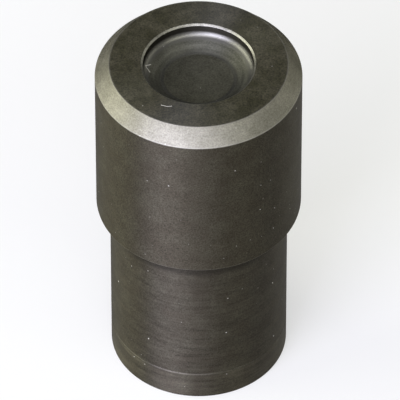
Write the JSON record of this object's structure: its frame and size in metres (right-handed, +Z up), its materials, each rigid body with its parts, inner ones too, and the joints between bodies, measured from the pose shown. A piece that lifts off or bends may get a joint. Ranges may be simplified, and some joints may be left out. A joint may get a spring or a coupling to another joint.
{
  "type": "rivet setting die",
  "caption": "Round turned steel die: a head with a wide bevel and a shallow cup in its face, whose flank slopes down to a flat floor, on a slightly narrower shank below a flat shoulder.",
  "frame": {"origin": "centre of the base, the flat end of the shank that the die stands on", "axes": "+Z up the die's axis from the base to the face with the cup; +X and +Y across it, the die being the same all round"},
  "size_m": [0.015, 0.015, 0.0282],
  "materials": {
    "blackened_steel": "black oxide over fine turning marks, with the bevel and the cup's rim turned bright"
  },
  "bodies": {
    "root": {"die_body": "blackened_steel"}
  },
  "joints": []
}
